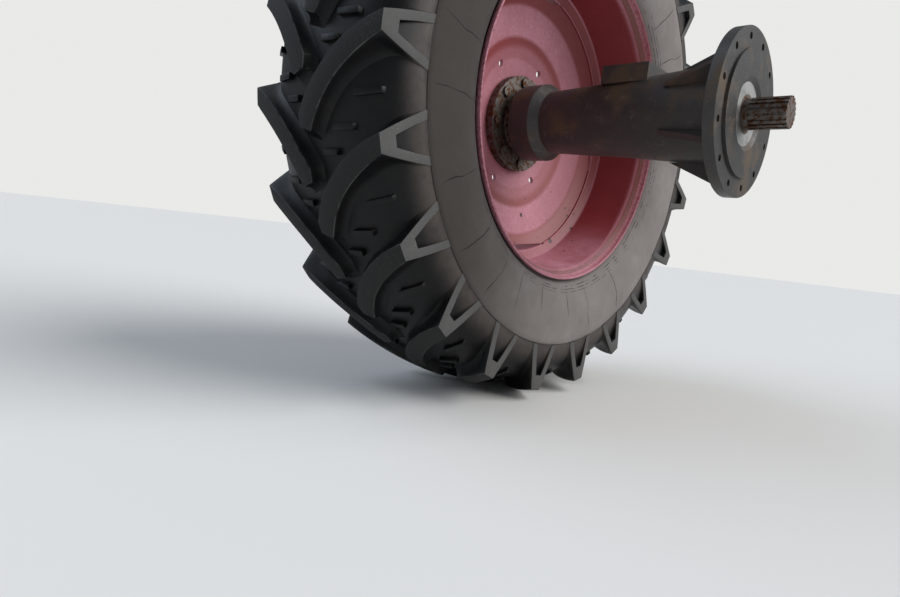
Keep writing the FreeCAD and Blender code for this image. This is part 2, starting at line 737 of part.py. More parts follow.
def tyre():
    """Carcass with a ring of lugs on each half, the outboard ring half a pitch on."""
    count = int(SIZE["lug_count"])
    pitch = 360 / count
    lugs = []
    for side, offset in ((1, 0), (-1, pitch / 2)):
        first = lug(side)
        for index in range(count):
            copy = first.copy()
            copy.rotate(Vector(0, 0, 0), Y_AXIS, offset + index * pitch)
            lugs.append(copy)
    casing = faceted_ring(carcass_profile(), int(SIZE["carcass_flats"]))
    piece = doc.addObject("Part::Feature", "tyre")
    piece.Shape = casing.fuse(lugs)
    place = Vector(0, -SIZE["axle_reach"], 0)
    piece.Placement = FreeCAD.Placement(place, FreeCAD.Rotation(Y_AXIS, SIZE["tread_turn"]))
    return piece


NODES = (
    "axle_housing", "inner_bearing", "outer_bearing", "seal_retainer", "retainer_bolts",
    "half_shaft", "wheel_studs", "wheel_nuts", "wheel_disc", "rim", "tyre",
    "valve_stem", "valve_nut", "valve_cap",
)

axle_housing()
bearings_and_cover()
retainer_bolts()
half_shaft()
wheel_studs()
wheel_nuts()
wheel_disc()
rim()
valve()
tyre()
doc.recompute()

for item in doc.Objects:
    if "Invalid" in item.State or "Error" in item.State:
        raise RuntimeError(f"{item.Label} could not be built")

os.makedirs("parts", exist_ok=True)
for node in NODES:
    shape = doc.getObjectsByLabel(node)[0].Shape
    if shape.isNull() or not shape.isValid():
        raise RuntimeError(f"{node} is not a valid solid")
    shape.exportStep(f"parts/{node}.step")
    print(node, len(shape.Solids), round(shape.Volume / 1e6, 3), "litres")
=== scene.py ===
"""Rear wheel of a farm tractor on its half axle: tyre detail, worn finishes, floor, light and camera.

Metres, in the model's frame: +X the way the tractor drives, +Y inboard along the axle, +Z up.
"""
import math

import bmesh
import bpy
from mathutils import Matrix, Vector
from mathutils.geometry import interpolate_bezier


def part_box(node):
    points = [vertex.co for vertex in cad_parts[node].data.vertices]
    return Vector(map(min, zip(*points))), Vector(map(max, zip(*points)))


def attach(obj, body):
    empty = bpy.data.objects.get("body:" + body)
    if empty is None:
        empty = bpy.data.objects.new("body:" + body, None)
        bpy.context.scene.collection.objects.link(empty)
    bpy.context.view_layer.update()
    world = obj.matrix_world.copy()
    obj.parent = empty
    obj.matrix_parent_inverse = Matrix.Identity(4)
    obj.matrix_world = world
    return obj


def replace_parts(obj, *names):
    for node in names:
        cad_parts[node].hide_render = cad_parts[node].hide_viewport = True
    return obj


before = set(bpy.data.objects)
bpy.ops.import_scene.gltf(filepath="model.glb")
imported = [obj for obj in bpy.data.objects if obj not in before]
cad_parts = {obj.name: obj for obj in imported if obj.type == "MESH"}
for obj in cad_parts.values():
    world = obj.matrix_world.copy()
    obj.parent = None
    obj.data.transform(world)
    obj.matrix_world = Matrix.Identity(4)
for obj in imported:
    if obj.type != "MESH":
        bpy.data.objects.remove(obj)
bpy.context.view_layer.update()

TURN = 2 * math.pi

RIM_LOW, RIM_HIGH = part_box("rim")
WHEEL_Y = (RIM_LOW.y + RIM_HIGH.y) / 2
FLANGE_RADIUS = RIM_HIGH.z

# Tyre
TYRE_RADIUS = 0.676
CROWN_DROP = 0.024
TREAD_HALF = 0.186
TREAD_FLOOR = TYRE_RADIUS - 0.026
SHOULDER_RADIUS = 0.541
SHOULDER_HALF = 0.187

# A lug is an arc on the unrolled tread that turns from its shoulder end to its nose
LUGS = 21
TREAD_TURN = math.radians(7.96)
LUG_BEND = 0.366
LUG_START = math.radians(23)
LUG_FINISH = math.radians(63)
NOSE_SLANT = math.radians(17)
LUG_END_HALF = 0.018
BUTTRESS_HALF = 0.061
END_FLARE = 0.0025
END_SLOPE = END_FLARE / (TYRE_RADIUS - CROWN_DROP - SHOULDER_RADIUS)
FLANK_FOOT = 0.018
NOSE_FOOT = 0.028
EDGE_ROUND = 0.0018
LUG_ROOT = 0.003
LUG_SWELL = 0.002
LUG_TURNOVER = 0.15
FLARE_SHARE = 0.16
FLANK_PULL = 0.003
FLANK_HOLD = 0.88
END_HOLD = 0.50
CORNER_START = 0.92
CORNER_CUT = 0.013
CREST_ANGLE = math.radians(28)

# Shares of the way: stations from a lug's shoulder end to its nose, rings from its top down a flank
ALONG = (0.0, 0.025, 0.055, 0.095, 0.14, 0.20, 0.27, 0.34, 0.41, 0.48, 0.55, 0.62, 0.69, 0.76, 0.84,
         0.92, 0.946, 0.973, 1.0)
RINGS = (0.0, 0.14, 0.30, 0.48, 0.66, 0.84, 1.0)

# Recess in a lug's shoulder end
POCKET_TOP = 0.616
POCKET_TOP_HALF = 0.0115
POCKET_BASE_HALF = 0.040
POCKET_DEPTH = 0.011
POCKET_LEAST_DEPTH = 0.001
POCKET_TAPER = 0.0025
POCKET_DROP = 0.003
POCKET_ROUND = 0.0011
POCKET_CUTS = (1.0, 0.72, 0.38)

# Marks on the sidewall: cells of cracks round the tyre, and half the step of the bead's fine lines
CRACK_CELLS = 24
CRACK_ZONE = (0.415, 0.515)
BEAD_ZONE = (0.393, 0.412)
BEAD_HALF_STEP = 0.0035


def wheel_point(across, angle, radius):
    """A point on the wheel: distance inboard of its centre plane, angle about the axle, radius."""
    return Vector((radius * math.cos(angle), WHEEL_Y + across, radius * math.sin(angle)))


def finished(name, bm, body, material, smooth=math.radians(32)):
    """Turn a bmesh into a piece that rides on a body and takes a finish."""
    bmesh.ops.recalc_face_normals(bm, faces=bm.faces)
    mesh = bpy.data.meshes.new(name)
    bm.to_mesh(mesh)
    bm.free()
    mesh.shade_smooth()
    mesh.set_sharp_from_angle(angle=smooth)
    piece = bpy.data.objects.new(name, mesh)
    bpy.context.scene.collection.objects.link(piece)
    mesh.materials.append(material)
    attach(piece, body)
    return piece


class Finish:
    """A procedural material in the making, on the model's own coordinates."""

    def __init__(self, name, metallic=0.0):
        self.material = bpy.data.materials.new(name)
        self.material.use_nodes = True
        self.tree = self.material.node_tree
        self.shader = self.tree.nodes["Principled BSDF"]
        self.shader.inputs["Metallic"].default_value = metallic
        self.place = self.tree.nodes.new("ShaderNodeTexCoord").outputs["Object"]
        split = self.add("SeparateXYZ", Vector=self.place)
        self.x, y, self.z = split.outputs
        self.across = self.sum("SUBTRACT", y, WHEEL_Y)
        self.radius = self.length(self.x, self.z)
        self.angle = self.sum("ARCTAN2", self.z, self.x)

    def add(self, kind, settings=(), **inputs):
        """A shader node with its settings, and its inputs set or linked by name."""
        node = self.tree.nodes.new("ShaderNode" + kind)
        for name, value in dict(settings).items():
            setattr(node, name, value)
        for name, value in inputs.items():
            self.feed(node.inputs[name], value)
        return node

    def feed(self, socket, value):
        if isinstance(value, bpy.types.NodeSocket):
            self.tree.links.new(value, socket)
        else:
            socket.default_value = value

    def sum(self, operation, first, second=0.0):
        """One step of arithmetic, such as ADD or SUBTRACT, as a node."""
        node = self.tree.nodes.new("ShaderNodeMath")
        node.operation = operation
        self.feed(node.inputs[0], first)
        self.feed(node.inputs[1], second)
        return node.outputs[0]

    def times(self, *shares):
        product = shares[0]
        for share in shares[1:]:
            product = self.sum("MULTIPLY", product, share)
        return product

    def length(self, first, second):
        return self.sum("SQRT", self.sum("ADD", self.times(first, first), self.times(second, second)))

    def noise(self, scale, detail=4.0, roughness=0.55):
        node = self.add("TexNoise", Vector=self.place, Scale=scale, Detail=detail, Roughness=roughness)
        return node.outputs["Fac"]

    def spots(self, scale):
        node = self.add("TexVoronoi", Vector=self.place, Scale=scale)
        return node.outputs["Distance"]

    def between(self, value, low, high, start=0.0, stop=1.0):
        """Smooth step from start to stop as the value goes from low to high."""
        node = self.add("MapRange", {"interpolation_type": "SMOOTHSTEP"}, Value=value)
        for name, number in (("From Min", low), ("From Max", high), ("To Min", start), ("To Max", stop)):
            self.feed(node.inputs[name], number)
        return node.outputs[0]

    def band(self, value, low, high, fade):
        """One between low and high, zero outside, with soft borders."""
        rise = self.between(value, low - fade, low + fade)
        return self.times(rise, self.between(value, high - fade, high + fade, 1.0, 0.0))

    def blend(self, share, first, second):
        node = self.add("Mix", {"data_type": "RGBA"})
        self.feed(node.inputs["Factor"], share)
        self.feed(node.inputs[6], self.colour(first))
        self.feed(node.inputs[7], self.colour(second))
        return node.outputs[2]

    def colour(self, value):
        return (*value, 1.0) if isinstance(value, tuple) else value

    def finish(self, colour, roughness, *reliefs):
        """Connect colour and roughness, and stack reliefs of (height, metres)."""
        self.feed(self.shader.inputs["Base Color"], self.colour(colour))
        self.feed(self.shader.inputs["Roughness"], roughness)
        normal = None
        for height, depth in reliefs:
            bump = self.add("Bump", Height=height, Distance=depth, Strength=1.0)
            if normal:
                self.feed(bump.inputs["Normal"], normal)
            normal = bump.outputs["Normal"]
        if normal:
            self.feed(self.shader.inputs["Normal"], normal)
        return self.material


def rubber():
    """Black in the grooves, worn grey on the lug tops and shoulder frames, brown dust on the sidewalls;
    painted highlights on the lugs' rubbed edges, painted shade on the sidewall towards the front.
    """
    f = Finish("tyre_rubber")
    f.shader.inputs["Specular IOR Level"].default_value = 0.22
    aside = f.sum("ABSOLUTE", f.across)
    crown = f.sum("SUBTRACT", TYRE_RADIUS, f.times(aside, aside, CROWN_DROP / TREAD_HALF**2))
    below_top = f.sum("SUBTRACT", crown, f.radius)
    patches = f.noise(9.0, 5.0, 0.6)
    grain = f.noise(900.0, 2.0, 0.6)
    streaks = f.noise(26.0, 5.0, 0.65)
    specks = f.between(f.spots(260.0), 0.1, 0.22, 0.7, 0.0)
    black = f.blend(f.between(streaks, 0.45, 0.8, 0.0, 0.6), (0.0035, 0.0036, 0.0042), (0.012, 0.011, 0.0105))

    shoulder = f.between(f.radius, SHOULDER_RADIUS + 0.004, SHOULDER_RADIUS + 0.062, 1.0, 0.0)
    shoulder = f.times(shoulder, f.between(aside, 0.150, 0.178), f.between(streaks, 0.2, 0.65, 0.5, 1.0))
    colour = f.blend(shoulder, black, (0.066, 0.054, 0.047))

    fall = f.times(f.sum("SUBTRACT", TYRE_RADIUS - CROWN_DROP, f.radius), END_SLOPE)
    behind = f.sum("SUBTRACT", f.sum("ADD", fall, TREAD_HALF), aside)
    frame_mask = f.between(behind, 0.0003, 0.0006, 1.0, 0.0)
    frame_mask = f.times(frame_mask, f.between(f.radius, SHOULDER_RADIUS, SHOULDER_RADIUS + 0.002))
    frame_colour = f.blend(grain, (0.060, 0.058, 0.057), (0.115, 0.111, 0.108))
    frame_colour = f.blend(f.times(specks, f.between(streaks, 0.4, 0.6)), frame_colour, (0.27, 0.26, 0.25))
    colour = f.blend(frame_mask, colour, frame_colour)

    worn = f.between(below_top, 0.0004, 0.0014, 1.0, 0.0)
    top_colour = f.blend(grain, (0.011, 0.0108, 0.0106), (0.026, 0.0255, 0.025))
    top_colour = f.blend(f.times(specks, f.between(patches, 0.40, 0.62)), top_colour, (0.12, 0.115, 0.11))
    colour = f.blend(worn, colour, top_colour)
    # Lighter band just under the lug tops' edges: rubbed rubber, with a painted highlight where the rounded
    # edge catches light.
    edge_wear_and_highlight = f.times(f.band(below_top, 0.0005, 0.0022, 0.0004), f.between(streaks, 0.35, 0.6))
    colour = f.blend(f.times(edge_wear_and_highlight, 0.6), colour, (0.12, 0.118, 0.115))

    side = f.between(f.radius, SHOULDER_RADIUS - 0.003, SHOULDER_RADIUS + 0.001, 1.0, 0.0)
    brown = f.blend(patches, (0.115, 0.097, 0.087), (0.300, 0.275, 0.265))
    brown = f.blend(f.between(streaks, 0.35, 0.75), brown, (0.200, 0.178, 0.168))
    # Painted shade: the sidewall darkens to near black towards the front of the wheel (+X).
    painted_shade_front = f.between(f.x, 0.02, 0.46, 0.0, 0.85)
    brown = f.blend(painted_shade_front, brown, (0.020, 0.0165, 0.013))
    colour = f.blend(side, colour, brown)
    line = f.band(f.radius, SHOULDER_RADIUS - 0.0018, SHOULDER_RADIUS + 0.0006, 0.0005)
    colour = f.blend(f.times(line, 0.8), colour, (0.016, 0.013, 0.012))

    bend = f.times(f.noise(6.0, 3.0), 0.5)
    crack_place = f.sum("ADD", f.times(f.angle, CRACK_CELLS / TURN), bend)
    crack_edge = f.add("TexVoronoi", {"voronoi_dimensions": "1D", "feature": "DISTANCE_TO_EDGE"},
                       W=crack_place, Scale=1.0)
    width = f.between(f.noise(14.0, 2.0), 0.35, 0.65, 0.004, 0.011)
    crack = f.sum("LESS_THAN", crack_edge.outputs["Distance"], width)
    crack = f.times(crack, f.band(f.radius, *CRACK_ZONE, 0.02), f.between(f.noise(4.0, 2.0), 0.40, 0.50))
    colour = f.blend(f.times(crack, 0.85), colour, (0.012, 0.010, 0.009))
    wavering = f.sum("ADD", f.radius, f.times(streaks, 0.004))
    rings = f.between(f.sum("PINGPONG", wavering, BEAD_HALF_STEP), 0.0002, 0.0010, 1.0, 0.0)
    bead = f.band(f.radius, *BEAD_ZONE, 0.004)
    rings = f.times(rings, bead, f.between(f.noise(50.0, 4.0), 0.47, 0.55))
    colour = f.blend(f.times(rings, 0.8), colour, (0.016, 0.013, 0.012))
    foot = f.band(f.radius, FLANGE_RADIUS, FLANGE_RADIUS + 0.008, 0.004)
    colour = f.blend(f.times(foot, 0.5), colour, (0.030, 0.024, 0.021))
    roughness = f.blend(side, (0.42, 0.42, 0.42), (0.78, 0.78, 0.78))
    roughness = f.blend(f.sum("MAXIMUM", worn, frame_mask), roughness, (0.75, 0.75, 0.75))
    deep = f.sum("ADD", crack, rings)
    return f.finish(colour, roughness, (grain, 0.00015), (streaks, 0.0008), (f.times(deep, -1.0), 0.0012))


# Where the paint changes, as lowest and highest radius: pink as painted light on the hub and broad rings,
# painted highlights along the weld, ledge and flange ridge lines
HUB_RING = (0.120, 0.165)
BROAD_RING = (0.212, 0.282)
WELD_LINE = (0.322, 0.3262)
LEDGE_LINE = (0.3435, 0.3475)
FLANGE_RIDGE = (0.3570, 0.3605)
FLANGE_GUTTER = (0.3615, 0.3690)

# Dark chips in the paint: across, radius, angle in degrees, half size
CHIPS = (
    (-0.0100, 0.2340, -101.9, 0.0060), (-0.0180, 0.1965, -110.3, 0.0035), (-0.0105, 0.2323, -139.4, 0.0032),
    (0.0138, 0.3173, -138.3, 0.0042), (0.0067, 0.2994, -140.8, 0.0032), (0.0003, 0.2802, -124.4, 0.0032),
    (0.0091, 0.3053, -92.1, 0.0038), (0.0190, 0.3275, -118.5, 0.0080), (0.0290, 0.3450, -134.6, 0.0055),
    (0.0680, 0.3500, -117.1, 0.0045),
)


def red_paint():
    """Faded red with chalky pink, dark chips and rust freckles; pink on the lit rings, barrel bottom and edge
    lines is painted light, deep red towards the rear is painted shade.
    """
    f = Finish("faded_red_paint")
    fade = f.noise(5.0, 5.0, 0.6)
    cloud = f.noise(16.0, 5.0, 0.65)
    fine = f.noise(140.0, 3.0, 0.65)
    on_rim = f.between(f.radius, 0.3215, 0.3245)
    # Painted light: pink on the hub ring and broad ring as faces in light, half as pink inside radius 0.18,
    # and deep red beyond as painted shade.
    hub = f.band(f.radius, *HUB_RING, 0.008)
    broad_ring = f.band(f.radius, *BROAD_RING, 0.006)
    chalk_and_painted_light = f.sum("MAXIMUM", f.times(hub, 0.75), f.times(broad_ring, 0.95))
    chalk_and_painted_light = f.sum("MAXIMUM", chalk_and_painted_light, f.times(f.between(f.radius, 0.18, 0.20, 1.0, 0.0), 0.45))
    chalk_and_painted_light = f.times(chalk_and_painted_light, f.between(cloud, 0.25, 0.7, 0.75, 1.0))
    # Painted light: the rim's barrel turns pink towards the bottom, less next to the disc.
    painted_light_below = f.between(f.z, -0.34, -0.18, 1.0, 0.0)
    barrel_painted_light = f.times(on_rim, f.between(cloud, 0.3, 0.7, 0.55, 1.0), f.between(painted_light_below, 0.0, 1.0, 0.0, 1.0))
    barrel_painted_light = f.times(barrel_painted_light, f.between(f.across, 0.025, 0.032, 0.4, 1.0))
    lip = f.times(f.between(f.radius, 0.3685, 0.3705), f.between(fine, 0.3, 0.6, 0.45, 0.95))
    # Painted highlights: thin pink lines along the flange ridge, the weld's edge and the ledge's corner,
    # where these edges catch light.
    ridge_highlight = f.band(f.radius, *FLANGE_RIDGE, 0.0010)
    weld_highlight = f.times(f.band(f.radius, *WELD_LINE, 0.0006), f.between(f.across, 0.010, 0.014))
    ledge = f.times(f.band(f.radius, *LEDGE_LINE, 0.0008), f.band(f.across, 0.026, 0.0325, 0.001))
    highlight_lines = f.times(f.sum("MAXIMUM", f.sum("MAXIMUM", weld_highlight, ledge), ridge_highlight), 0.85)
    chalk_and_painted_light = f.sum("MAXIMUM", f.sum("MAXIMUM", chalk_and_painted_light, barrel_painted_light), f.sum("MAXIMUM", lip, highlight_lines))
    chalk_and_painted_light = f.sum("ADD", chalk_and_painted_light, f.between(fine, 0.55, 0.78, 0.0, 0.15))
    # Painted shade: less pink and deeper red towards the rear of the wheel (-X).
    chalk_and_painted_light = f.times(chalk_and_painted_light, f.between(f.x, -0.30, -0.02, 0.55, 1.0))
    # Deep red is the paint as in shade, pink the paint faded and in light.
    deep_red = f.blend(fade, (0.170, 0.013, 0.016), (0.290, 0.037, 0.041))
    pink = f.blend(fine, (0.440, 0.155, 0.205), (0.600, 0.285, 0.350))
    colour = f.blend(chalk_and_painted_light, deep_red, pink)
    freckle = f.between(f.spots(190.0), 0.08, 0.22, 0.75, 0.0)
    freckle = f.times(freckle, f.between(f.noise(18.0, 3.0), 0.44, 0.60))
    colour = f.blend(freckle, colour, (0.24, 0.060, 0.060))
    gutter = f.band(f.radius, *FLANGE_GUTTER, 0.0008)
    colour = f.blend(f.times(gutter, f.between(fine, 0.3, 0.7, 0.35, 0.8)), colour, (0.17, 0.085, 0.068))
    grime = f.times(f.between(f.radius, 0.360, 0.368), f.between(f.spots(120.0), 0.1, 0.24, 0.6, 0.0))
    colour = f.blend(grime, colour, (0.20, 0.11, 0.09))
    chip = f.times(f.between(f.spots(15.0), 0.03, 0.05, 1.0, 0.0), f.between(f.noise(55.0, 3.0), 0.45, 0.52))
    ragged = f.times(f.noise(180.0, 3.0), 0.004)
    for across, radius, degrees, size in CHIPS:
        spot = wheel_point(across, math.radians(degrees), radius)
        away = f.length(f.sum("SUBTRACT", f.x, spot.x), f.sum("SUBTRACT", f.z, spot.z))
        away = f.length(away, f.sum("SUBTRACT", f.across, across))
        distance = f.sum("ADD", away, ragged)
        chip = f.sum("MAXIMUM", chip, f.between(distance, size, size + 0.002, 1.0, 0.0))
    colour = f.blend(chip, colour, (0.045, 0.025, 0.024))
    roughness = f.blend(chalk_and_painted_light, (0.42, 0.42, 0.42), (0.70, 0.70, 0.70))
    return f.finish(colour, roughness, (fine, 0.00025), (f.times(chip, -1.0), 0.0006))


def cast_iron():
    """Rough casting under old black paint, oily, with brown grease and rust."""
    f = Finish("oily_cast_iron")
    patches = f.noise(11.0, 6.0, 0.62)
    grain = f.noise(320.0, 3.0, 0.6)
    grease = f.between(patches, 0.5, 0.68)
    black_paint = f.blend(grain, (0.018, 0.017, 0.016), (0.045, 0.042, 0.04))
    colour = f.blend(grease, black_paint, (0.075, 0.048, 0.026))
    dust = f.between(f.noise(42.0, 5.0, 0.7), 0.55, 0.8, 0.0, 0.5)
    colour = f.blend(dust, colour, (0.16, 0.14, 0.12))
    roughness = f.blend(grease, (0.42, 0.42, 0.42), (0.7, 0.7, 0.7))
    return f.finish(colour, roughness, (grain, 0.0006), (patches, 0.002))


def steel(name, bright, dull, rust, rough=(0.38, 0.62)):
    """Bare steel with handling marks, and rust where it is given."""
    f = Finish(name, metallic=1.0)
    patches = f.noise(45.0, 5.0, 0.6)
    grain = f.noise(600.0, 2.0)
    colour = f.blend(patches, bright, dull)
    stain = f.between(f.noise(90.0, 5.0, 0.7), 0.62 - rust, 0.72 - rust)
    colour = f.blend(stain, colour, (0.11, 0.045, 0.02))
    roughness = f.between(patches, 0.3, 0.7, *rough)
    return f.finish(colour, roughness, (grain, 0.0001))


def plain(name, dark, light, roughness):
    """Smooth rubber or plastic with a faint speckle."""
    f = Finish(name)
    speckle = f.noise(220.0, 4.0)
    rough = f.between(f.noise(40.0, 3.0), 0.3, 0.7, roughness - 0.08, roughness + 0.08)
    return f.finish(f.blend(speckle, dark, light), rough, (speckle, 0.0002))


RUBBER = rubber()
RED = red_paint()
IRON = cast_iron()
DULL_STEEL = steel("dull_steel", (0.20, 0.18, 0.165), (0.11, 0.095, 0.088), 0.14, (0.5, 0.75))
GROUND_STEEL = steel("ground_steel", (0.45, 0.45, 0.44), (0.32, 0.32, 0.31), -0.02)
VALVE_RUBBER = plain("valve_rubber", (0.012, 0.012, 0.012), (0.04, 0.038, 0.036), 0.6)
CAP_PLASTIC = plain("cap_plastic", (0.015, 0.015, 0.015), (0.03, 0.03, 0.03), 0.45)

NODE_FINISHES = {
    "axle_housing": IRON, "seal_retainer": IRON, "retainer_bolts": DULL_STEEL,
    "inner_bearing": GROUND_STEEL, "outer_bearing": GROUND_STEEL, "half_shaft": DULL_STEEL,
    "wheel_studs": DULL_STEEL, "wheel_nuts": DULL_STEEL, "wheel_disc": RED, "rim": RED,
    "valve_stem": VALVE_RUBBER, "valve_nut": DULL_STEEL, "valve_cap": CAP_PLASTIC, "tyre": RUBBER,
}
for node, material in NODE_FINISHES.items():
    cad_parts[node].data.materials.clear()
    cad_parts[node].data.materials.append(material)


def crown_at(across):
    """Radius of the lug tops."""
    return TYRE_RADIUS - CROWN_DROP * (across / TREAD_HALF)**2


def curve(start, start_pull, end_pull, end, count):
    """Points of one curved stretch of the casing's section, as (across, radius)."""
    points = interpolate_bezier(*(Vector((*pair, 0)) for pair in (start, start_pull, end_pull, end)), count)
    return [(point.x, point.y) for point in points]


TREAD_CURVE = curve((SHOULDER_HALF - 0.0002, SHOULDER_RADIUS + 0.0015), (0.182, 0.622),
                    (0.128, TREAD_FLOOR - 0.0005), (0, TREAD_FLOOR), 20)
CASING_WALL = 0.024
CASING_STEPS = 8 * LUGS


def floor_at(across):
    """Radius of the tread's floor between the lugs."""
    across = abs(across)
    for (outer, low), (inner, high) in zip(TREAD_CURVE, TREAD_CURVE[1:]):
        if across >= inner:
            share = min((outer - across) / (outer - inner), 1)
            return low + (high - low) * max(share, 0)
    return TREAD_FLOOR


def turned(section, steps):
    """A ring turned about the axle from its section, as (across, radius)."""
    bm = bmesh.new()
    verts = [bm.verts.new(wheel_point(across, 0, radius)) for across, radius in section]
    edges = [bm.edges.new(pair) for pair in zip(verts, verts[1:] + verts[:1])]
    bmesh.ops.spin(bm, geom=verts + edges, cent=(0, WHEEL_Y, 0), axis=(0, 1, 0), angle=TURN,
                   steps=steps, use_merge=True, use_duplicate=False)
    return bm


def mirrored(section):
    """The same section beyond the centre plane, walked backwards."""
    return [(-across, radius) for across, radius in reversed(section)]


def rounded(bm, edges, offset, segments=2):
    """Round edges over, and hand back what that made."""
    return bmesh.ops.bevel(bm, geom=edges, affect="EDGES", offset=offset, segments=segments,
                           profile=0.5, material=-1)


def casing():
    """The carcass: bead, bulged sidewall, fine shoulder line and tread floor, turned about the axle."""
    heel = 0.1522
    seat = 0.3645
    toe = (0.1222, 0.3615)
    sidewall = curve((0.1675, 0.3895), (0.1930, 0.410), (0.1975, 0.487), (SHOULDER_HALF + 0.0002, 0.5392), 16)
    half = [toe, (heel, seat), (heel, 0.374)] + sidewall
    half += [(SHOULDER_HALF - 0.0014, SHOULDER_RADIUS - 0.0004)] + TREAD_CURVE[:-1]
    inside = [(0.0, TREAD_FLOOR - CASING_WALL), (0.140, 0.602), (0.1765, 0.475), (toe[0], toe[1] + 0.013)]
    section = half + [(0.0, TREAD_FLOOR)] + mirrored(half) + mirrored(inside) + inside[1:]
    bm = turned(section, CASING_STEPS)
    return finished("tyre_casing", bm, "wheel", RUBBER, smooth=math.radians(50))


# Rim: radii of its well and ledge, and how far their corners stand from the centre plane on each side
WELL_RADIUS = 0.324
LEDGE_RADIUS = 0.3456
INBOARD_CORNERS = (0.017, 0.029)
OUTBOARD_CORNERS = (0.048, 0.076)
RIM_WALL = 0.006
RIM_BEND = 0.003
RIM_STEPS = 128

# Bead seat and flange as (across, radius): out along the side that faces the axle, back on the tyre's
FLANGE = (
    (0.1420, 0.3570), (0.1480, 0.3595), (0.1545, 0.3640), (0.1610, 0.3700), (0.1675, 0.3742),
    (0.1725, 0.3753), (0.1750, 0.3780), (0.1735, 0.3805), (0.1700, 0.3810), (0.1625, 0.3795),
    (0.1560, 0.3750), (0.1525, 0.3690), (0.1522, 0.3642),
)


def rim_half(corner, ledge):
    """Half the rim's section, from its well's corner to the flange and back."""
    low = [(corner, WELL_RADIUS), (ledge, LEDGE_RADIUS)]
    return low + list(FLANGE) + [(ledge, LEDGE_RADIUS + RIM_WALL), (corner, WELL_RADIUS + RIM_WALL)]


def on_ring(edge, radii):
    """Whether an edge runs round the axle at one of the radii."""
    reach = [math.hypot(vert.co.x, vert.co.z) for vert in edge.verts]
    return any(all(abs(value - radius) < 1e-5 for value in reach) for radius in radii)


def round_rings(bm, radii, offset, segments):
    """Round the bends that run round the axle at the given radii."""
    rounded(bm, [edge for edge in bm.edges if on_ring(edge, radii)], offset, segments)


def rim():
    """The rim, its well nearer the outboard side so that the disc's edge meets the well's corner."""
    bm = turned(rim_half(*INBOARD_CORNERS) + mirrored(rim_half(*OUTBOARD_CORNERS)), RIM_STEPS)
    round_rings(bm, (WELL_RADIUS, LEDGE_RADIUS), RIM_BEND, 2)
    return finished("rim_ring", bm, "wheel", RED)


# Disc's rings on the axle-housing side: radius and distance inboard
DISC_RINGS = (
    (0.0762, -0.031), (0.126, -0.031), (0.149, -0.0265), (0.2116, -0.015), (0.287, 0.0018),
    (0.3238, 0.0162),
)
DISC_WALL = 0.009
DISC_BEND = 0.0045
DISC_STEPS = 120
WHEEL_TURN = math.radians(-5.3)
WINDOWS = 4
WINDOW_CHORD = 0.308

# Weight holes and stud holes: number, their circle's radius and each hole's radius
DISC_HOLES = ((6, 0.160, 0.0085), (8, 0.1016, 0.0082))
DRILL_LENGTH = 0.08

# Weld between disc and rim: radius of the bead, its place across, how far it sinks into the well
WELD_RADIUS = 0.0028
WELD_ACROSS = 0.0172
WELD_SINK = 0.0006


def drilled(bm, circles):
    """Drill a plate along the axle: number of holes, their circle's radius and each hole's radius."""
    drills = bmesh.new()
    for count, circle, hole in circles:
        for index in range(count):
            spot = wheel_point(DISC_RINGS[0][1], WHEEL_TURN + index * TURN / count, circle)
            bmesh.ops.create_cone(drills, cap_ends=True, segments=24, radius1=hole, radius2=hole,
                                  depth=DRILL_LENGTH,
                                  matrix=Matrix.Translation(spot) @ Matrix.Rotation(math.pi / 2, 4, "X"))
    holders = []
    for name, shape in (("plate", bm), ("drills", drills)):
        bmesh.ops.recalc_face_normals(shape, faces=shape.faces)
        mesh = bpy.data.meshes.new(name)
        shape.to_mesh(mesh)
        shape.free()
        holder = bpy.data.objects.new(name, mesh)
        bpy.context.scene.collection.objects.link(holder)
        holders.append(holder)
    cut = holders[0].modifiers.new("holes", "BOOLEAN")
    cut.operation = "DIFFERENCE"
    cut.solver = "EXACT"
    cut.object = holders[1]
    view = bpy.context.evaluated_depsgraph_get()
    result = bpy.data.meshes.new_from_object(holders[0].evaluated_get(view))
    out = bmesh.new()
    out.from_mesh(result)
    for holder in holders:
        mesh = holder.data
        bpy.data.objects.remove(holder)
        bpy.data.meshes.remove(mesh)
    bpy.data.meshes.remove(result)
    return out


def disc():
    """Pressed disc: bolting face, raised ring, cone, broad ring and skirt, with windows and holes."""
    inboard = [(across, radius) for radius, across in DISC_RINGS]
    outboard = [(across - DISC_WALL, radius) for across, radius in reversed(inboard)]
    bm = turned(inboard + outboard, DISC_STEPS)
    round_rings(bm, [radius for radius, _ in DISC_RINGS[1:-1]], DISC_BEND, 3)
    for index in range(WINDOWS):
        out = wheel_point(0, WHEEL_TURN + index * TURN / WINDOWS, 1) - wheel_point(0, 0, 0)
        bmesh.ops.bisect_plane(bm, geom=bm.verts[:] + bm.edges[:] + bm.faces[:], dist=1e-6,
                               plane_co=out * WINDOW_CHORD, plane_no=out, clear_outer=True)
        bmesh.ops.holes_fill(bm, edges=[edge for edge in bm.edges if edge.is_boundary])
    return finished("pressed_disc", drilled(bm, DISC_HOLES), "wheel", RED)


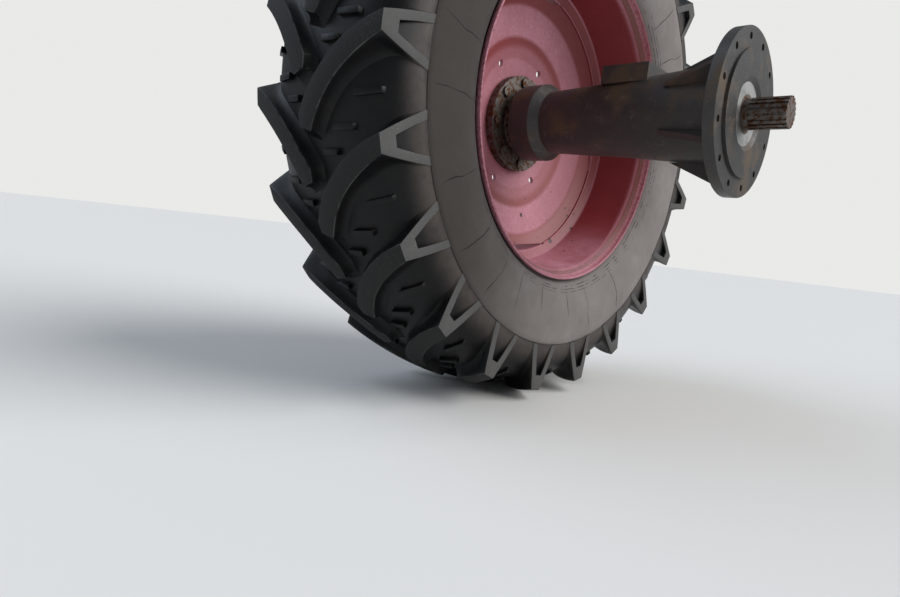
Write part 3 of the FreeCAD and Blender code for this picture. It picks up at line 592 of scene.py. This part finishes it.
def weld_beads():
    """Weld between the disc's edge and the rim, along the stretches between the windows."""
    bm = bmesh.new()
    half_window = math.acos(WINDOW_CHORD / DISC_RINGS[-1][0])
    length = TURN / WINDOWS - 2 * half_window
    for index in range(WINDOWS):
        start = WHEEL_TURN + index * TURN / WINDOWS + half_window
        rod = bmesh.ops.create_circle(bm, segments=8, radius=WELD_RADIUS)["verts"]
        spot = wheel_point(WELD_ACROSS, 0, WELL_RADIUS - WELD_SINK)
        bmesh.ops.transform(bm, verts=rod, matrix=Matrix.Rotation(-start, 4, "Y") @ Matrix.Translation(spot))
        edges = list({edge for vert in rod for edge in vert.link_edges})
        bmesh.ops.spin(bm, geom=rod + edges, cent=(0, WHEEL_Y, 0), axis=(0, 1, 0), angle=-length, steps=48)
    bmesh.ops.holes_fill(bm, edges=[edge for edge in bm.edges if edge.is_boundary])
    return finished("weld_beads", bm, "wheel", RED)


def lug_path(share):
    """Middle of a lug's top on the unrolled tread, the way its width runs and the way it points."""
    heading = LUG_START + (LUG_FINISH - LUG_START) * share
    middle = Vector((TREAD_HALF - LUG_BEND * (math.sin(heading) - math.sin(LUG_START)),
                     LUG_BEND * (math.cos(heading) - math.cos(LUG_FINISH))))
    ahead = Vector((-math.cos(heading), -math.sin(heading)))
    width = Vector((-math.sin(heading), math.cos(heading)))
    if share < LUG_TURNOVER:
        width = width.lerp(Vector((0, 1)), 1 - share / LUG_TURNOVER)
    if share > 1 - LUG_TURNOVER:
        slanted = Vector((-math.cos(NOSE_SLANT), math.sin(NOSE_SLANT)))
        width = width.lerp(slanted, (share - 1 + LUG_TURNOVER) / LUG_TURNOVER)
    return middle, width.normalized(), ahead


def lug_half(share, side):
    """Half the width of a lug's top, cut back at one corner of the nose."""
    half = LUG_END_HALF + LUG_SWELL * min(share / 0.3, 1) + LUG_SWELL * max(share - 0.6, 0) / 0.4
    if side > 0 and share > CORNER_START:
        half -= CORNER_CUT * (share - CORNER_START) / (1 - CORNER_START)
    return half


def flank(ring, foot, pull, hold):
    """How far a flank stands out at a ring, and what share of the way down it is."""
    bow = 2 * ring * (1 - ring)
    return bow * pull + ring**2 * foot, bow * hold + ring**2


def lug_spot(station, place):
    """Where a point of a lug's skin lies: across the tread, along it, and its radius."""
    share = ALONG[min(station, len(ALONG) - 1)]
    past = max(station + 1 - len(ALONG), 0)
    down = max(abs(place) - 1, 0)
    side = (place > 0) - (place < 0)
    middle, width, ahead = lug_path(share)
    flare = max(1 - share / FLARE_SHARE, 0)**2
    spread = BUTTRESS_HALF - LUG_END_HALF
    foot = FLANK_FOOT + (spread - FLANK_FOOT) * flare
    pull = FLANK_PULL + (spread / 2 - FLANK_PULL) * flare
    hold = FLANK_HOLD - (FLANK_HOLD - END_HOLD) * flare
    stand, _ = flank(RINGS[down], foot, pull, hold)
    toe, _ = flank(RINGS[past], NOSE_FOOT, FLANK_PULL, hold)
    _, drop = flank(RINGS[max(down, past)], foot, pull, hold)
    spot = middle + width * side * (lug_half(share, side) + stand) + ahead * toe
    top, base = crown_at(spot.x), floor_at(spot.x) - LUG_ROOT
    if share == 0:
        spot.x = TREAD_HALF + END_FLARE * drop
        base = SHOULDER_RADIUS - 0.0015
    return Vector((spot.x, spot.y, top + (base - top) * drop))


def end_faces(bm):
    """The flat faces of a lug's shoulder end."""
    bm.normal_update()
    return [
        face for face in bm.faces
        if abs(face.normal.x) > 0.99 and min(vert.co.x for vert in face.verts) > TREAD_HALF - 0.0005
    ]


def slice_end(bm, spot, square):
    """Part the flat faces of a lug's shoulder end along a plane."""
    faces = end_faces(bm)
    edges = {edge for face in faces for edge in face.edges}
    verts = {vert for face in faces for vert in face.verts}
    bmesh.ops.bisect_plane(bm, geom=[*faces, *edges, *verts], dist=1e-6, plane_co=spot, plane_no=square)


def pocket_half(radius):
    """Half the width of the recess in a lug's shoulder end."""
    share = (POCKET_TOP - radius) / (POCKET_TOP - SHOULDER_RADIUS)
    return POCKET_TOP_HALF + (POCKET_BASE_HALF - POCKET_TOP_HALF) * share


def sink_pocket(bm, middle):
    """Sink the recess into a lug's shoulder end, between its two ribs."""
    rise = POCKET_TOP - SHOULDER_RADIUS
    fall = POCKET_BASE_HALF - POCKET_TOP_HALF
    for side in (-1, 1):
        slice_end(bm, (0, middle + side * POCKET_TOP_HALF, POCKET_TOP), (0, side * rise, fall))
    for share in POCKET_CUTS:
        slice_end(bm, (0, 0, SHOULDER_RADIUS + rise * share), (0, 0, 1))
    mouth = []
    for face in end_faces(bm):
        spot = face.calc_center_median()
        if spot.z < POCKET_TOP and abs(spot.y - middle) < pocket_half(spot.z) - 0.001:
            mouth.append(face)
    made = bmesh.ops.extrude_face_region(bm, geom=mouth)["geom"]
    bmesh.ops.delete(bm, geom=[face for face in mouth if face.is_valid], context="FACES_ONLY")
    floor = [item for item in made if isinstance(item, bmesh.types.BMVert)]
    for vert in floor:
        share = max((vert.co.z - SHOULDER_RADIUS) / rise, 0)
        vert.co.x -= POCKET_LEAST_DEPTH + POCKET_DEPTH * share**1.3
        vert.co.y -= math.copysign(POCKET_TAPER * share, vert.co.y - middle)
        vert.co.z -= POCKET_DROP * share**3
    bottom = {item for item in made if isinstance(item, bmesh.types.BMFace)}
    walls = {face for vert in floor for face in vert.link_faces} - bottom
    lips = {
        edge for face in walls for edge in face.edges
        if not any(vert in floor for vert in edge.verts)
        and min(vert.co.z for vert in edge.verts) > SHOULDER_RADIUS + 0.002
    }
    rounded(bm, list(lips), POCKET_ROUND)


def bar_lug(bm):
    """One bar on the unrolled tread, its nose at the start: across, along and radius."""
    long, wide = len(ALONG) + len(RINGS) - 2, 2 * len(RINGS)
    bmesh.ops.create_grid(bm, x_segments=long, y_segments=wide, size=0.5)
    borders = [edge for edge in bm.edges if all(abs(vert.co.y) > 0.499 for vert in edge.verts)]
    for vert in bm.verts:
        vert.co = lug_spot(round((vert.co.x + 0.5) * long), round(vert.co.y * wide))
    under = bmesh.ops.bridge_loops(bm, edges=borders)["faces"]
    under += bmesh.ops.holes_fill(bm, edges=[edge for edge in bm.edges if edge.is_boundary])["faces"]
    end = end_faces(bm)
    hidden = {edge for face in under if face not in end for edge in face.edges}
    bm.normal_update()
    crests = [
        edge for edge in bm.edges
        if edge not in hidden and edge.is_manifold and edge.calc_face_angle(0) > CREST_ANGLE
    ]
    rounded(bm, crests, EDGE_ROUND)
    sink_pocket(bm, lug_path(0)[0].y)


# Blocks in the groove beside a lug: across, degrees past the nose, length, lean along the tread
GROOVE_BLOCKS = ((0.051, 13.3, 0.038, 0.0), (0.088, 17.05, 0.047, 0.0), (0.1365, 22.2, 0.046, 0.12))
BLOCK_WIDTH = 0.0125
BLOCK_HEIGHT = 0.016
BLOCK_LIFT = 0.0015
BLOCK_ROUND = 0.0014


def groove_blocks(bm):
    """Small blocks that stand on the groove's floor, on the unrolled tread."""
    for across, degrees, length, lean in GROOVE_BLOCKS:
        made = bmesh.ops.create_cube(bm, size=1.0)["verts"]
        bmesh.ops.scale(bm, verts=made, vec=(length, BLOCK_WIDTH, BLOCK_HEIGHT))
        edges = {edge for vert in made for edge in vert.link_edges if vert.co.z > 0}
        done = rounded(bm, list(edges), BLOCK_ROUND)
        block = {vert for face in done["faces"] for vert in face.verts}
        block |= {vert for vert in made if vert.is_valid}
        for vert in block:
            along = vert.co.y + lean * vert.co.x + math.radians(degrees) * TYRE_RADIUS
            place = across + vert.co.x
            vert.co = Vector((place, along, floor_at(place) + BLOCK_LIFT + vert.co.z))


def tread(name, side, offset):
    """All the lugs of one side, rolled onto the tyre."""
    bm = bmesh.new()
    bar_lug(bm)
    groove_blocks(bm)
    for vert in bm.verts:
        vert.co = wheel_point(side * vert.co.x, vert.co.y / TYRE_RADIUS, vert.co.z)
    bmesh.ops.rotate(bm, verts=bm.verts, cent=(0, WHEEL_Y, 0),
                     matrix=Matrix.Rotation(math.pi / 2 + TREAD_TURN - offset, 3, "Y"))
    first = bm.verts[:] + bm.edges[:] + bm.faces[:]
    for index in range(1, LUGS):
        copy = bmesh.ops.duplicate(bm, geom=first)["geom"]
        verts = [item for item in copy if isinstance(item, bmesh.types.BMVert)]
        turn = Matrix.Rotation(index * TURN / LUGS, 3, "Y")
        bmesh.ops.rotate(bm, verts=verts, cent=(0, WHEEL_Y, 0), matrix=turn)
    return finished(name, bm, "wheel", RUBBER)


# Floor, light and camera
FLOOR_GAP = 0.0005
CAMERA_SPOT = (1.3111, 0.4467, -0.3073)
CAMERA_AHEAD = (-0.74011, -0.66517, -0.09895)
CAMERA_RIGHT = (-0.67248, 0.73138, 0.11341)
SENSOR_WIDTH = 36
LENS = 24.83


def stage_floor():
    """A plain pale floor under the tyre."""
    bm = bmesh.new()
    bmesh.ops.create_grid(bm, x_segments=1, y_segments=1, size=40)
    bmesh.ops.translate(bm, verts=bm.verts, vec=(0, 0, -TYRE_RADIUS - FLOOR_GAP))
    mesh = bpy.data.meshes.new("studio_floor")
    bm.to_mesh(mesh)
    bm.free()
    floor = bpy.data.objects.new("studio_floor", mesh)
    bpy.context.scene.collection.objects.link(floor)
    material = bpy.data.materials.new("pale_floor")
    material.use_nodes = True
    shader = material.node_tree.nodes["Principled BSDF"]
    shader.inputs["Base Color"].default_value = (0.76, 0.75, 0.73, 1)
    shader.inputs["Roughness"].default_value = 0.9
    shader.inputs["Specular IOR Level"].default_value = 0.1
    mesh.materials.append(material)


def soft_light(name, heading, spread, power, colour=(1, 1, 1)):
    """Even light from far off, soft as through cloud, that falls along a heading."""
    lamp = bpy.data.lights.new(name, "SUN")
    lamp.angle = math.radians(spread)
    lamp.energy = power
    lamp.color = colour
    holder = bpy.data.objects.new(name, lamp)
    holder.rotation_euler = Vector(heading).to_track_quat("-Z", "Y").to_euler()
    bpy.context.scene.collection.objects.link(holder)


def pale_world():
    """Weak even light from all round, and a near-white backdrop where the camera sees it."""
    world = bpy.data.worlds.new("pale_room")
    bpy.context.scene.world = world
    world.use_nodes = True
    nodes, links = world.node_tree.nodes, world.node_tree.links
    background = nodes["Background"]
    background.inputs["Color"].default_value = (0.90, 0.95, 1.0, 1)
    background.inputs["Strength"].default_value = 0.28
    seen = nodes.new("ShaderNodeBackground")
    seen.inputs["Color"].default_value = (0.82, 0.82, 0.81, 1)
    seen.inputs["Strength"].default_value = 1.0
    rays = nodes.new("ShaderNodeLightPath")
    mix = nodes.new("ShaderNodeMixShader")
    links.new(rays.outputs["Is Camera Ray"], mix.inputs[0])
    links.new(background.outputs[0], mix.inputs[1])
    links.new(seen.outputs[0], mix.inputs[2])
    links.new(mix.outputs[0], nodes["World Output"].inputs["Surface"])


def photo_camera():
    """The camera stands where one fitted to the photo's ellipses stands, with its lens."""
    ahead = Vector(CAMERA_AHEAD).normalized()
    right = Vector(CAMERA_RIGHT)
    right = (right - ahead * right.dot(ahead)).normalized()
    up = right.cross(ahead)
    camera = bpy.data.cameras.new("photo_camera")
    camera.sensor_width = SENSOR_WIDTH
    camera.lens = LENS
    camera.clip_start = 0.01
    holder = bpy.data.objects.new("photo_camera", camera)
    turn = Matrix((right, up, -ahead)).transposed()
    holder.matrix_world = Matrix.Translation(CAMERA_SPOT) @ turn.to_4x4()
    bpy.context.scene.collection.objects.link(holder)
    bpy.context.scene.camera = holder


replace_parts(casing(), "tyre")
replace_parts(rim(), "rim")
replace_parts(disc(), "wheel_disc")
weld_beads()
tread("inboard_lugs", 1, 0)
tread("outboard_lugs", -1, TURN / LUGS / 2)

stage_floor()
pale_world()
soft_light("inboard_light", (0.40, -0.70, -0.60), 50, 2.8)
soft_light("sky_light", (-0.50, 0.65, -0.75), 60, 1.1, colour=(0.72, 0.84, 1.0))
photo_camera()
bpy.context.scene.view_settings.view_transform = "Standard"
